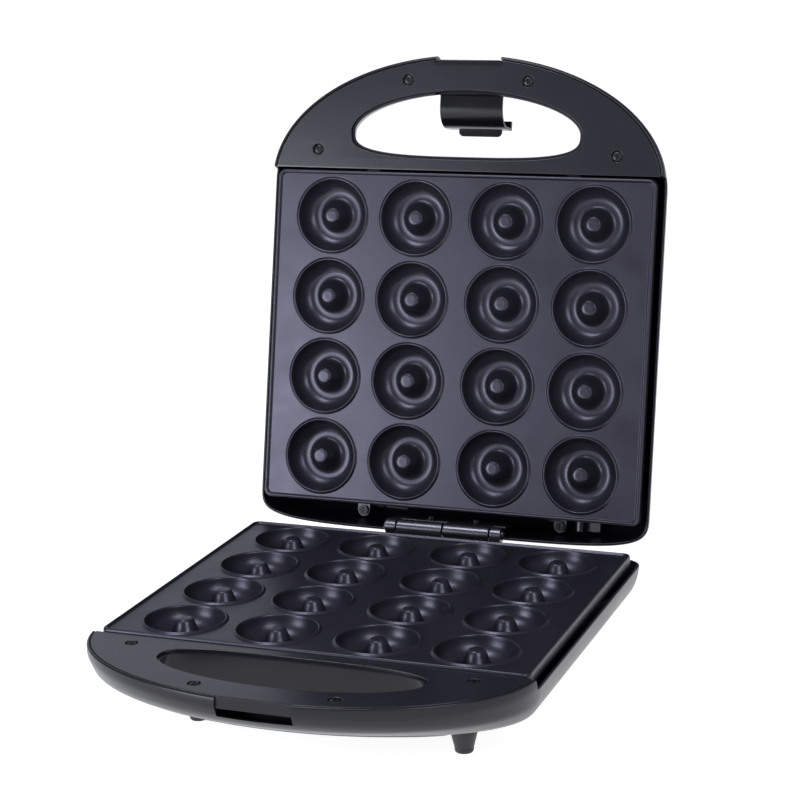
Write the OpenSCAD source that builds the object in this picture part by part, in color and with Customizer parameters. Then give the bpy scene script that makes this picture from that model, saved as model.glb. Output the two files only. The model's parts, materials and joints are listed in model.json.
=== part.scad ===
// Sixteen-well clamshell mini-donut maker, standing open.
// Both halves are drawn below a shared seam plane: z = 0 is the plane where they meet
// when shut, the plate centre is x = y = 0, and the handle points along -Y.  The upper
// half is the mirror image of that drawing, swung open about the hinge pin.

/* [Wells] */
// Distance between wells from side to side
well_pitch_x = 56; // [52:0.5:57]
// Distance between wells from front to back
well_pitch_y = 51; // [49:0.5:52]
// Extra width between the two middle columns
well_middle_gap = 3; // [0:0.5:4]
// Radius of a well at its mouth
well_r = 22.3; // [21.5:0.1:22.6]
// Depth of a well below the plate's face
well_depth = 10.3; // [9.5:0.1:11]
// Width of the raised bead round each well
bead_w = 2.3; // [1.8:0.1:2.5]
// Height of the beads and of the plate's edge lip
bead_h = 1.2; // [0.6:0.1:1.3]
// Radius of the centre peg at its flat top
peg_top_r = 3.7; // [3:0.1:4.5]
// Radius of the centre peg at its foot
peg_foot_r = 6.3; // [5.5:0.1:6.5]

/* [Plates] */
// Half of the plate's width
plate_half_x = 123.5; // [122:0.5:124]
// Half of the plate's length
plate_half_y = 105; // [104:0.5:105.5]
// Radius of the plate's corners
plate_corner_r = 4.5; // [3:0.5:6]
// Thickness of the cast plate
plate_t = 2.2; // [1.8:0.1:2.5]
// Depth of the flange bent down round the plate
flange_h = 6; // [4:0.5:6]
// Half of the gap left between the two plates when shut
half_gap = 1.4; // [1.3:0.1:2]

/* [Housing] */
// Half of the housing's greatest width
shell_half_x = 128.6; // [128.4:0.1:130]
// Y of the centre of the rounded handle end
handle_mid_y = -100; // [-101:0.5:-99]
// Wall thickness of the housings
wall = 2.2; // [2:0.1:2.4]
// How far the side rims sit below the handle's rim
rim_step = 6; // [5:0.5:6.5]
// Height of the seam plane above the table
seam_height = 58; // [57:0.5:60]
// How far the lid opens
open_angle = 102; // [95:1:104]

/* [Handle] */
// Half of the handle opening's width
grip_half_x = 75.5; // [72:0.5:77]
// Y of the handle opening's widest line
grip_mid_y = -130; // [-131:0.5:-129]
// Depth of the handle opening in front of that line
grip_front = 26.5; // [25:0.5:27]
// Depth of the handle opening behind that line
grip_rear = 16.5; // [15:0.5:17]
// Thickness of the handle covers
cover_t = 2; // [1.8:0.1:2.2]
// Width of the housing's rim round the handle covers
cover_inset = 2; // [1.8:0.1:2.4]
// How much the handle opening widens for each mm of depth
grip_widening = 0.005; // [0.004:0.001:0.006]

/* [Hinge and latch] */
// Y of the hinge pin
hinge_y = 117.2; // [117:0.1:118]
// Radius of the hinge barrels
barrel_r = 4.75; // [4.5:0.05:4.8]
// Radius of the hinge pin
pin_r = 2; // [1.8:0.1:2.2]
// Width of the latch
latch_w = 41; // [38:0.5:41]
// Y of the latch pin
latch_y = -156.5; // [-157:0.5:-156]
// Height of the latch pin above the seam
latch_h = 11.8; // [11.8:0.1:12.2]
// Thickness of the latch
latch_t = 2; // [1.8:0.1:2]

/* [Hidden] */

eps = 0.01;
running = 0.05;            // radial clearance of a pin in its barrel
fit_gap = 0.1;             // gap round a fixed part in its pocket
plastic = "#1c1c1f";
cover_black = "#26262a";
nonstick = "#3c3b46";
steel = "#9a9c9f";
sleeve = "#3a3836";

deck = -half_gap;                       // the plates' cooking face
under = deck - plate_t;                 // the plates' underside
rim = deck;                             // the handle's rim
side_rim = rim - rim_step;              // the rim along the sides and rear
step_y = -106.5;                        // where the rim steps down
body_mid_y = 12.2;                      // centre of the open appliance's outline, from the plate centre

well_xs = [
    -1.5 * well_pitch_x - well_middle_gap / 2, -0.5 * well_pitch_x - well_middle_gap / 2,
    0.5 * well_pitch_x + well_middle_gap / 2, 1.5 * well_pitch_x + well_middle_gap / 2
];
well_ys = [for (i = [-1.5:1:1.5]) i * well_pitch_y];

// Skin of a half, from the rim to the flat floor.  Each row is one level:
// [depth below the rim, half width, front y, length of the rounded front, rear y]
front_y = handle_mid_y - 78.3;
rear_y = 121;
skin = [
    [0, shell_half_x - 0.4, front_y, 78.3, rear_y],
    [4, shell_half_x, front_y - 0.4, 79.4, rear_y],
    [10, shell_half_x - 0.6, front_y + 1.6, 79.8, rear_y],
    [15, shell_half_x - 1.7, front_y + 6, 76.2, rear_y - 0.2],
    [20, shell_half_x - 3.6, front_y + 14.8, 70.3, rear_y - 0.6],
    [25, shell_half_x - 7, front_y + 27, 60.3, rear_y - 0.9],
    [31, shell_half_x - 12.9, front_y + 47.3, 51, rear_y - 1.4],
    [38, shell_half_x - 22, front_y + 75, 46, rear_y - 4],
    [43, shell_half_x - 31, front_y + 96, 41, rear_y - 10],
    [45.5, shell_half_x - 40, front_y + 108, 38, rear_y - 18]
];
floor_z = deck - 45.5;
rear_round = 26;                         // length of the rounded rear corners

notch_half = latch_w / 2 + 0.6;          // half width of the latch's recess
notch_y = front_y + 2.2;                 // front face of the recess
notch_low = -20;                         // bottom of the walls round the recess
lip_z = -7.9;                            // ledge that the latch's lip hooks under
lip_room_z = -12.8;                      // bottom of the pocket under that ledge
cover_notch_y = notch_y + 0.8;           // front edge of the handle covers inside the recess
saddle_h = latch_h - 3.3;                // skin under the latch's arm
saddle_r = 9;

foot_xy = [for (x = [-78.5, 78.5], y = [-79, 88]) [x, y]];
foot_top = -39.4;
foot_r = 7.5;
cover_screw_xy = [[-97.6, -118], [97.6, -118], [-39, -162.5], [39, -162.5]];
strap_x = 66;
strap_web_y = 101;                       // inner face of the straps' upright
strap_w = 8;
strap_t = 1.2;
rear_strap_y = 111.8;                    // screws of the rear straps
rear_strap_z = deck - 30;                // upper face of the rear straps' feet
front_strap_y = -110;
front_strap_z = deck - 18;
strap_screws = [
    for (x = [-strap_x, strap_x], end = [[rear_strap_y, rear_strap_z], [front_strap_y, front_strap_z]])
        [x, end[0], end[1]]
];
screw_r = 1.5;
element_r = 3.25;
element_z = deck - 12.5;
element_x = well_pitch_x + well_middle_gap / 2;
element_y = -well_pitch_y;
element_bend = 9;
shield_z = deck - 24;
shield_x = 108;
leaf_y = hinge_y - barrel_r;             // front face of a hinge leaf
leaf_t = 1.5;
hinge_screw_z = -19;
hinge_block_x = 24;                      // half width of the block behind a hinge leaf
hinge_screw_xs = [-15, 15];
gland_x = 50;
gland_z = deck - 25;
lamp_xs = [-17, 17];
lamp_y = -52;
clamp_x = 80;                            // the wire clamp's loop
clamp_y = 109.5;
clamp_z = rear_strap_z + 2;
wire_r = 1.1;

// ---- outlines ----------------------------------------------------------------------

function sgn_pow(v, e) = sign(v) * pow(abs(v), e);

// Points of a superellipse arc about (0, cy), half sizes a and b, exponent n.
function arc(cy, a, b, n, from, to, steps) = [
    for (i = [0:steps])
        let (t = from + (to - from) * i / steps)
        [a * sgn_pow(cos(t), 2 / n), cy + b * sgn_pow(sin(t), 2 / n)]
];

// A half's outline at one level, moved in by an inset.
function body_outline(level, inset) = concat(
    arc(level[2] + level[3], level[1] - inset, level[3] - inset, 2, 180, 360, 40),
    arc(level[4] - rear_round, level[1] - inset, rear_round - inset, 5, 0, 180, 22)
);

// The handle opening, grown by an offset.
function grip_outline(grow) = concat(
    arc(grip_mid_y, grip_half_x + grow, grip_front + grow, 1.9, 180, 360, 28),
    arc(grip_mid_y, grip_half_x + grow, grip_rear + grow, 3.2, 0, 180, 24)
);

// ---- placing -----------------------------------------------------------------------

module place_base() translate([0, -body_mid_y, seam_height]) children();

module place_lid() {
    place_base()
        translate([0, hinge_y, 0]) rotate([-open_angle, 0, 0]) translate([0, -hinge_y, 0])
            mirror([0, 0, 1]) children();
}

module mirror_x() {
    children();
    mirror([1, 0, 0]) children();
}

// ---- housings ----------------------------------------------------------------------

// A level's outline as points in space.
function ring(level, inset, lift) = [
    for (p = body_outline(level, inset)) [p[0], p[1], deck - level[0] + lift]
];

// The slab between two rings.
module slab(low, high) {
    hull() polyhedron(concat(low, high), [[for (i = [0:len(low) + len(high) - 1]) i]]);
}

module skin_solid(inset, lift) {
    for (i = [0:len(skin) - 2])
        slab(ring(skin[i + 1], inset, lift), ring(skin[i], inset, lift));
}

module inner_solid() {
    skin_solid(wall, wall);
    slab(ring(skin[0], wall, wall), ring(skin[0], wall, wall + 6));
}

module upright(outline, low, high) {
    translate([0, 0, low]) linear_extrude(high - low) polygon(outline);
}

module box(low, high) translate(low) cube(high - low);

module at(xy, z) translate([xy[0], xy[1], z]) children();

module boss(xy, r, top) at(xy, floor_z) cylinder(r = r, h = top - floor_z, $fn = 32);

// A screw's blind hole, from its top down.
module pilot(xy, top, depth) at(xy, top - depth) cylinder(r = screw_r + fit_gap, h = depth + eps, $fn = 32);

// The handle opening as a solid from a level down, widening sideways with depth.
module grip_solid(grow, top) {
    depth = 52;
    translate([0, 0, top]) mirror([0, 0, 1])
        linear_extrude(depth, scale = [1 + grip_widening * depth, 1]) polygon(grip_outline(grow));
}

// What both housings share: a shell with a through handle opening, screw bosses, a
// recess for the latch across its front and a low rim along its sides and rear.
module half_housing() {
    difference() {
        union() {
            difference() {
                skin_solid(0, 0);
                inner_solid();
            }
            intersection() {
                skin_solid(0, 0);
                union() {
                    grip_solid(1.6, rim - cover_t);
                    for (xy = cover_screw_xy) boss(xy, 4, rim - cover_t);
                    for (p = strap_screws) boss(p, 5, p[2] - strap_t);
                    box([-hinge_block_x, leaf_y + leaf_t, -28], [hinge_block_x, rear_y, -12]);
                    box([-notch_half - 2, notch_y, notch_low],
                        [notch_half + 2, notch_y + 2, rim - cover_t]);
                    mirror_x() box([notch_half, front_y - 3, notch_low],
                        [notch_half + 2, notch_y + 2, rim - cover_t]);
                }
            }
        }
        grip_solid(-2, 1);
        for (xy = cover_screw_xy) pilot(xy, rim - cover_t, 9);
        for (p = strap_screws) pilot(p, p[2] - strap_t, 8);
        for (x = hinge_screw_xs)
            translate([x, leaf_y + leaf_t - eps, hinge_screw_z]) rotate([-90, 0, 0])
                cylinder(r = screw_r + fit_gap, h = 6, $fn = 32);
        box([-notch_half, front_y - 10, -60], [notch_half, notch_y, 1]);
        box([-200, step_y, side_rim], [200, 200, 1]);
        // the handle cover's pocket
        upright(body_outline(skin[0], cover_inset), rim - cover_t, 1);
    }
}

module base_housing() {
    place_base() color(plastic) difference() {
        union() {
            half_housing();
            intersection() {
                skin_solid(0, 0);
                for (xy = foot_xy) boss(xy, 10, foot_top + 4);
            }
            box([-notch_half - 2, notch_y, lip_z], [notch_half + 2, notch_y + 7, rim - cover_t]);
        }
        for (xy = foot_xy) {
            at(xy, floor_z - 2) cylinder(r = foot_r + fit_gap, h = foot_top - floor_z + 2, $fn = 48);
            pilot(xy, foot_top + 3, 10);
        }
        box([-notch_half, notch_y - 1, lip_room_z], [notch_half, notch_y + 6, lip_z]);
        translate([gland_x, rear_y - 12, gland_z]) rotate([-90, 0, 0])
            cylinder(r = 7 + fit_gap, h = 20, $fn = 48);
    }
}

// Side view of the saddle that the latch's arm folds over, as [y, depth] points.
function saddle_side(r, tail) = concat(
    [[tail, 1], [tail, -saddle_h + saddle_r - r]],
    [for (a = [0:10:90]) [latch_y - saddle_r - r * sin(a), -saddle_h + saddle_r - r * cos(a)]],
    [[latch_y - saddle_r - r, 1]]
);

module saddle(r, half) {
    rotate([90, 0, 90]) translate([0, 0, -half]) linear_extrude(2 * half)
        polygon(saddle_side(r, grip_mid_y + 1));
}

module lid_housing() {
    place_lid() color(plastic) difference() {
        union() {
            half_housing();
            intersection() {
                skin_solid(0, 0);
                mirror_x() box([notch_half, -200, -60], [notch_half + 2, latch_y + 4, rim - cover_t]);
            }
            difference() {
                saddle(saddle_r, notch_half + 1);
                saddle(saddle_r - 1.8, notch_half + 2);
                box([-100, -200, rim - cover_t], [100, 0, 2]);
            }
        }
        difference() {
            box([-notch_half, -200, -60], [notch_half, grip_mid_y, 2]);
            saddle(saddle_r, notch_half + 1);
        }
        grip_solid(-2, 2);
        translate([-notch_half - 4, latch_y, -latch_h]) rotate([0, 90, 0])
            cylinder(r = screw_r + fit_gap, h = 2 * notch_half + 8, $fn = 32);
        for (x = lamp_xs) at([x, lamp_y], floor_z - 1) cylinder(r = 4 + fit_gap, h = 10, $fn = 48);
    }
}

// ---- handle covers -----------------------------------------------------------------

module half_cover() {
    color(cover_black) difference() {
        union() {
            translate([0, 0, rim - cover_t]) linear_extrude(cover_t) difference() {
                polygon(body_outline(skin[0], cover_inset + fit_gap));
                polygon(grip_outline(0));
                translate([-200, step_y + 0.4]) square([400, 300]);
                translate([-notch_half, front_y - 10])
                    square([2 * notch_half, cover_notch_y - front_y + 10]);
            }
            box([-112, step_y - 2.5, rim - 12], [112, step_y - 0.5, rim - cover_t]);
        }
        for (xy = cover_screw_xy) {
            at(xy, rim - cover_t - 1) cylinder(r = screw_r + fit_gap, h = cover_t + 2, $fn = 48);
            at(xy, rim - 0.9) cylinder(r = 3.3, h = 2, $fn = 48);
        }
    }
}

// Pan-head screw, head up, its head's underside at z = 0, with a cross recess.
module screw(length, head_r = 3.1, head_h = 1.5) {
    difference() {
        union() {
            cylinder(r = head_r, h = head_h, $fn = 48);
            translate([0, 0, -length]) cylinder(r = screw_r, h = length + eps, $fn = 48);
        }
        for (a = [0, 90]) rotate([0, 0, a]) translate([-1.7, -0.3, head_h - 0.7]) cube([3.4, 0.6, 1]);
    }
}

module half_cover_screws() {
    color(plastic) for (xy = cover_screw_xy) at(xy, rim - 0.9) screw(8, 3.1, 0.9);
}

// ---- cooking plates ----------------------------------------------------------------

// A rectangle with rounded corners, from half its width and length.
module rounded(x, y, r) {
    for (sx = [-1, 1], sy = [-1, 1]) translate([sx * (x - r), sy * (y - r)]) circle(r = r, $fn = 64);
    square([2 * (x - r), 2 * y], center = true);
    square([2 * x, 2 * (y - r)], center = true);
}

// Half section of a well, from the bead in to the peg and back along the underside.
function well_section() = [
    [well_r + bead_w, deck], [well_r + bead_w - 0.9, deck + 0.6], [well_r + 1.2, deck + bead_h],
    [well_r + 0.5, deck + bead_h], [well_r, deck + 0.3], [well_r - 0.9, deck - 3.4],
    [well_r - 2.8, deck - 6.7], [well_r - 5.4, deck - 9.1], [well_r - 8, deck - well_depth],
    [well_r - 10.6, deck - well_depth + 0.7], [peg_foot_r + 1.8, deck - well_depth + 2.6],
    [peg_foot_r, deck - well_depth + 5], [peg_top_r + 0.7, deck + bead_h - 0.5],
    [peg_top_r, deck + bead_h], [0, deck + bead_h], [0, deck - 2],
    [peg_foot_r - 2.4, deck - well_depth + 3], [well_r - 11, deck - well_depth - 1.6],
    [well_r - 8, deck - well_depth - 2.1], [well_r - 4, deck - 11], [well_r - 1, deck - 8.2],
    [well_r + 1, deck - 4.6], [well_r + bead_w, under]
];

module element_path(r) {
    end_y = 94;
    mirror_x() {
        translate([element_x, element_y + element_bend, element_z]) rotate([-90, 0, 0])
            cylinder(r = r, h = end_y - element_y - element_bend, $fn = 48);
        translate([element_x - element_bend, element_y + element_bend, element_z])
            rotate([0, 0, -90]) rotate_extrude(angle = 90, $fn = 64)
                translate([element_bend, 0]) circle(r = r, $fn = 48);
    }
    translate([-element_x + element_bend, element_y, element_z]) rotate([0, 90, 0])
        cylinder(r = r, h = 2 * (element_x - element_bend), $fn = 48);
}

module half_plate() {
    color(nonstick) difference() {
        union() {
            difference() {
                union() {
                    translate([0, 0, under]) linear_extrude(plate_t)
                        rounded(plate_half_x, plate_half_y, plate_corner_r);
                    translate([0, 0, deck - flange_h]) linear_extrude(flange_h + bead_h) difference() {
                        rounded(plate_half_x, plate_half_y, plate_corner_r);
                        rounded(plate_half_x - plate_t, plate_half_y - plate_t, plate_corner_r - plate_t);
                    }
                }
                for (x = well_xs, y = well_ys)
                    at([x, y], under - 1) cylinder(r = well_r + 0.8, h = 10, $fn = 64);
            }
            for (x = well_xs, y = well_ys)
                translate([x, y, 0]) rotate_extrude($fn = 64) polygon(well_section());
            mirror_x() box([element_x - 3.9, element_y + 14, element_z], [element_x + 3.9, 90, under]);
            box([-element_x + 14, element_y - 3.9, element_z], [element_x - 14, element_y + 3.9, under]);
        }
        element_path(element_r + running);
    }
}

// A strap that holds the plate down: a flange under the plate, an upright and a foot.
module strap(screw_y, foot_z) {
    difference() {
        union() {
            box([-strap_w / 2, strap_web_y - 3.5, under - strap_t],
                [strap_w / 2, strap_web_y + strap_t, under]);
            box([-strap_w / 2, strap_web_y, foot_z - strap_t],
                [strap_w / 2, strap_web_y + strap_t, under]);
            box([-strap_w / 2, strap_web_y, foot_z - strap_t], [strap_w / 2, screw_y, foot_z]);
            at([0, screw_y], foot_z - strap_t) cylinder(r = strap_w / 2, h = strap_t, $fn = 48);
        }
        at([0, screw_y], foot_z - 5) cylinder(r = screw_r + fit_gap, h = 10, $fn = 48);
    }
}

module half_straps() {
    color(steel) for (x = [-strap_x, strap_x]) translate([x, 0, 0]) {
        strap(rear_strap_y, rear_strap_z);
        mirror([0, 1, 0]) strap(-front_strap_y, front_strap_z);
    }
}

module half_strap_screws() {
    color(plastic) for (p = strap_screws) at(p, p[2]) screw(8);
}

// ---- heating -----------------------------------------------------------------------

module half_element() {
    color(steel) {
        element_path(element_r);
        mirror_x() translate([element_x, 94 - eps, element_z]) rotate([-90, 0, 0])
            cylinder(r = 1.2, h = 5, $fn = 32);
    }
}

module clamp() {
    difference() {
        union() {
            rotate([90, 0, 0]) translate([0, 0, -5]) cylinder(r = element_r + 1.1, h = 10, $fn = 48);
            box([-8, -5, -1], [8, 5, 0]);
        }
        rotate([90, 0, 0]) translate([0, 0, -6]) cylinder(r = element_r + running, h = 12, $fn = 48);
        box([-20, -20, 0], [20, 20, 20]);
    }
}

module half_clamps() {
    color(steel) {
        for (x = [-element_x, element_x], y = [-20, 72]) translate([x, y, element_z]) clamp();
    }
}

module half_shield() {
    color(steel) {
        box([-shield_x, -strap_web_y, shield_z - 0.8], [shield_x, strap_web_y, shield_z]);
        mirror_x() box([shield_x - 0.8, -strap_web_y, shield_z], [shield_x, strap_web_y, shield_z + 6]);
    }
}

module half_thermostat() {
    color("#c8c0b0") {
        translate([0, 0, under - 9]) cylinder(r = 8.5, h = 9, $fn = 64);
        mirror_x() box([8, -3, under - 7], [14, 3, under - 6.2]);
    }
}

module thermal_fuse() {
    place_base() color("#b9b4a8") translate([-9, well_pitch_y, under - 2.5]) rotate([0, 90, 0]) {
        cylinder(r = 2.5, h = 18, $fn = 48);
        translate([0, 0, -6]) cylinder(r = 0.6, h = 30, $fn = 32);
    }
}

module terminal_block() {
    place_base() color("#d8d2c4") translate([24, 66, floor_z + wall]) difference() {
        cube([30, 18, 13]);
        for (x = [6, 15, 24]) translate([x, 9, 6]) cylinder(r = 2, h = 10, $fn = 32);
        for (x = [6, 15, 24]) translate([x, -1, 6]) rotate([-90, 0, 0]) cylinder(r = 1.6, h = 20, $fn = 32);
    }
}

// A wire through a list of points.
module wire(points) {
    for (i = [0:len(points) - 2]) hull() {
        translate(points[i]) sphere(r = wire_r, $fn = 10);
        translate(points[i + 1]) sphere(r = wire_r, $fn = 10);
    }
}

module base_wires() {
    z = floor_z + wall + 6;
    place_base() color(sleeve) {
        wire([[48, 86, z], [48, 96, z], [element_x - 2, 103, -30], [element_x, 105, -18],
            [element_x, 100.4, element_z]]);
        wire([[30, 86, z], [30, 93, z], [gland_x - 3, 104, gland_z], [gland_x, 108, gland_z]]);
        wire([[39, 64, z], [39, 40, z], [20, 40, z]]);
    }
}

module lid_wires() {
    place_lid() color(sleeve) {
        wire([[-element_x, 100.4, element_z], [-element_x, 105, -18], [8 - element_x, 107.5, -22],
            [-48, 107.5, -24], [-34, 108, -25]]);
        wire([[element_x, 100.4, element_z], [element_x, 105, -18], [element_x + 6, 107.5, -22],
            [clamp_x - 8, 105.5, -22.5], [clamp_x, 102.9, clamp_z]]);
    }
}

// Sheet tab with a rolled loop that holds a wire.
module wire_clamp() {
    loop_r = 3.4;
    half_w = 4;
    place_lid() color(steel) difference() {
        union() {
            box([clamp_x - 4, clamp_y - half_w, rear_strap_z - strap_t],
                [clamp_x + 12, clamp_y + half_w, rear_strap_z]);
            translate([clamp_x, clamp_y + half_w, clamp_z]) rotate([90, 0, 0])
                cylinder(r = loop_r, h = 2 * half_w, $fn = 48);
        }
        translate([clamp_x, clamp_y + half_w + 1, clamp_z]) rotate([90, 0, 0])
            cylinder(r = loop_r - 1, h = 2 * half_w + 2, $fn = 48);
    }
}

module cord_gland() {
    length = 16;
    place_base() color(plastic) translate([gland_x, rear_y + 5 - length, gland_z]) rotate([-90, 0, 0])
        difference() {
            union() {
                cylinder(r = 7, h = length, $fn = 64);
                translate([0, 0, length - 5]) cylinder(r = 9, h = 3, $fn = 64);
                cylinder(r = 9, h = 2.5, $fn = 64);
            }
            translate([0, 0, -1]) cylinder(r = 3.6, h = length + 2, $fn = 64);
        }
}

// ---- hinge -------------------------------------------------------------------------

barrel_spans_base = [[-30.2, -0.4], [31, 38]];
barrel_spans_lid = [[0.4, 30.2], [-38, -31]];

// A leaf: its barrels on the pin's line, the sheet they are rolled from, and the part
// that is screwed to the housing's rear wall.
module hinge_leaf(spans) {
    color(steel) difference() {
        union() {
            box([-38, leaf_y, -28], [38, leaf_y + leaf_t, -5.6]);
            for (span = spans) {
                translate([span[0], hinge_y, 0]) rotate([0, 90, 0])
                    cylinder(r = barrel_r, h = span[1] - span[0], $fn = 64);
                box([span[0], leaf_y, -6], [span[1], leaf_y + leaf_t, 0]);
            }
        }
        translate([-60, hinge_y, 0]) rotate([0, 90, 0]) cylinder(r = pin_r + running, h = 120, $fn = 64);
        for (x = hinge_screw_xs) translate([x, leaf_y - 1, hinge_screw_z]) rotate([-90, 0, 0])
            cylinder(r = screw_r + fit_gap, h = 5, $fn = 48);
    }
}

module half_hinge_screws() {
    color(plastic) for (x = hinge_screw_xs)
        translate([x, leaf_y, hinge_screw_z]) rotate([90, 0, 0]) screw(6, 2.8, 1.4);
}

module hinge_pin() {
    place_base() color(steel) translate([-38.4, hinge_y, 0]) rotate([0, 90, 0]) {
        cylinder(r = pin_r, h = 76.8, $fn = 64);
        translate([0, 0, -1]) cylinder(r = 3, h = 1.2, $fn = 64);
        translate([0, 0, 76.6]) cylinder(r = 3, h = 1.2, $fn = 64);
    }
}

// ---- feet, lamps -------------------------------------------------------------------

module base_feet() {
    shoulder_z = -47;
    place_base() color(plastic) for (xy = foot_xy) difference() {
        union() {
            at(xy, shoulder_z) cylinder(r = foot_r, h = foot_top - shoulder_z, $fn = 64);
            at(xy, -seam_height) cylinder(r1 = 5.2, r2 = foot_r, h = shoulder_z + seam_height, $fn = 64);
        }
        at(xy, -seam_height - 1) cylinder(r = 3.4, h = 9, $fn = 48);
        at(xy, -seam_height) cylinder(r = screw_r + fit_gap, h = 30, $fn = 48);
    }
}

module base_foot_screws() {
    place_base() color(steel) for (xy = foot_xy)
        at(xy, -seam_height + 8) mirror([0, 0, 1]) screw(12, 2.8, 1.6);
}

module lens(x) {
    place_lid() translate([x, lamp_y, floor_z]) mirror([0, 0, 1]) {
        translate([0, 0, -wall - 3]) cylinder(r = 4, h = wall + 3.6, $fn = 64);
        translate([0, 0, 0.2]) cylinder(r1 = 4.7, r2 = 3.6, h = 1, $fn = 64);
    }
}

module indicator_lamps() {
    place_lid() color("#e8a060") for (x = lamp_xs)
        at([x, lamp_y], floor_z + wall + 3) cylinder(r = 3, h = 9, $fn = 48);
}

// ---- latch -------------------------------------------------------------------------

// Drawn with its pin along X through the origin, the arm along +Y, the hook below.
module latch_shape() {
    reach = 9;
    bend = 12;
    half_t = latch_t / 2;
    hook = 21;
    tab_half = 14.2;
    tab_y = reach + bend + 2;
    tab_r = 3;
    difference() {
        union() {
            box([-latch_w / 2, 0, -half_t], [latch_w / 2, reach, half_t]);
            translate([-latch_w / 2, 0, 0]) rotate([0, 90, 0]) cylinder(r = 2.9, h = latch_w, $fn = 64);
            translate([-latch_w / 2, reach, -bend]) rotate([0, 90, 0]) difference() {
                cylinder(r = bend + half_t, h = latch_w, $fn = 96);
                translate([0, 0, -1]) cylinder(r = bend - half_t, h = latch_w + 2, $fn = 96);
                box([-30, -30, -1], [30, 0, latch_w + 1]);
                box([0, -30, -1], [30, 30, latch_w + 1]);
            }
            box([-latch_w / 2, reach + bend - half_t, -hook - half_t],
                [latch_w / 2, reach + bend + half_t, -bend]);
            box([-latch_w / 2, reach + bend - 5, -hook - half_t],
                [latch_w / 2, reach + bend + half_t, -hook + half_t]);
            box([-tab_half, reach + bend, -hook - half_t], [tab_half, tab_y, -hook + half_t]);
            box([tab_r - tab_half, reach + bend, -hook - half_t],
                [tab_half - tab_r, tab_y + tab_r, -hook + half_t]);
            mirror_x() translate([tab_half - tab_r, tab_y, -hook - half_t])
                cylinder(r = tab_r, h = latch_t, $fn = 48);
        }
        translate([-latch_w, 0, 0]) rotate([0, 90, 0])
            cylinder(r = screw_r + running, h = 2 * latch_w, $fn = 64);
    }
}

module latch() {
    place_lid() color(plastic) translate([0, latch_y, -latch_h]) latch_shape();
}

module latch_pin() {
    place_lid() color(steel) translate([-notch_half - 2, latch_y, -latch_h]) rotate([0, 90, 0])
        cylinder(r = screw_r, h = 2 * notch_half + 4, $fn = 64);
}

base_housing();
place_base() half_cover();  // base_handle_cover
place_base() half_plate();  // base_plate
place_base() half_straps();  // base_plate_straps
place_base() half_strap_screws();  // base_strap_screws
place_base() half_element();  // base_element
place_base() half_clamps();  // base_element_clamps
place_base() half_shield();  // base_heat_shield
place_base() half_thermostat();  // base_thermostat
thermal_fuse();
terminal_block();
base_wires();
cord_gland();
place_base() hinge_leaf(barrel_spans_base);  // base_hinge_leaf
place_base() half_hinge_screws();  // base_hinge_screws
hinge_pin();
base_feet();
base_foot_screws();
place_base() half_cover_screws();  // base_cover_screws
lid_housing();
place_lid() half_cover();  // lid_handle_cover
place_lid() half_plate();  // lid_plate
place_lid() half_straps();  // lid_plate_straps
place_lid() half_strap_screws();  // lid_strap_screws
place_lid() half_element();  // lid_element
place_lid() half_clamps();  // lid_element_clamps
place_lid() half_shield();  // lid_heat_shield
place_lid() half_thermostat();  // lid_thermostat
place_lid() hinge_leaf(barrel_spans_lid);  // lid_hinge_leaf
place_lid() half_hinge_screws();  // lid_hinge_screws
place_lid() half_cover_screws();  // lid_cover_screws
color("#b02018") lens(lamp_xs[0]);  // power_lens
color("#2f9a3a") lens(lamp_xs[1]);  // ready_lens
indicator_lamps();
lid_wires();
wire_clamp();
latch_pin();
latch();
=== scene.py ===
"""The looks of an open clamshell donut maker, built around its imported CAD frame.

Both halves are the same design: each is made in a flat drawing frame, in millimetres,
with the seam plane at z = 0 and the half below it. Half.place() then carries a piece
into the row frame, and mirrors and swings open the lid's pieces on the way.
"""
import json
import math

import bmesh
import bpy
import numpy as np
from mathutils import Matrix, Vector


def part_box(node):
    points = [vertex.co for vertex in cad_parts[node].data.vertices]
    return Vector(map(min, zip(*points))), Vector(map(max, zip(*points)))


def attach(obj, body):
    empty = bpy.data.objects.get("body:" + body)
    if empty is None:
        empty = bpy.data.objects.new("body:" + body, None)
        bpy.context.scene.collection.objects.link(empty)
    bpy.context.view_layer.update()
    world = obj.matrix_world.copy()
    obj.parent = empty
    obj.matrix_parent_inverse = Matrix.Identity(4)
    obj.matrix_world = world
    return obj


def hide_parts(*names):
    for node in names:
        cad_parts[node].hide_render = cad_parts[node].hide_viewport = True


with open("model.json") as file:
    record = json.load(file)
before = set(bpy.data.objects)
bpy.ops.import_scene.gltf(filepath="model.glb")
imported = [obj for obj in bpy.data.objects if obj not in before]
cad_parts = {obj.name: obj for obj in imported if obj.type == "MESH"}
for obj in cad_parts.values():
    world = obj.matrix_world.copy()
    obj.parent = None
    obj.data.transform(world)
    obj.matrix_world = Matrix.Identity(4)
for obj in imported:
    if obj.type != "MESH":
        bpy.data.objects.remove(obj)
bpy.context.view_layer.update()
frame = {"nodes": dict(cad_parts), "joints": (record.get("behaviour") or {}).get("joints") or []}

MM = 0.001
JOINTS = {joint["name"]: joint for joint in frame["joints"]}
HINGE = Vector(JOINTS["lid_hinge"]["pos_m"])
OPEN_ANGLE = math.radians(JOINTS["lid_hinge"]["range_deg"][1])
PLATE_LOW, PLATE_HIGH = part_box("base_plate")
MID_Y = (PLATE_LOW.y + PLATE_HIGH.y) / 2
SEAM_Z = HINGE.z

# ---- driving dimensions, in millimetres, in the drawing frame -----------------------

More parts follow.
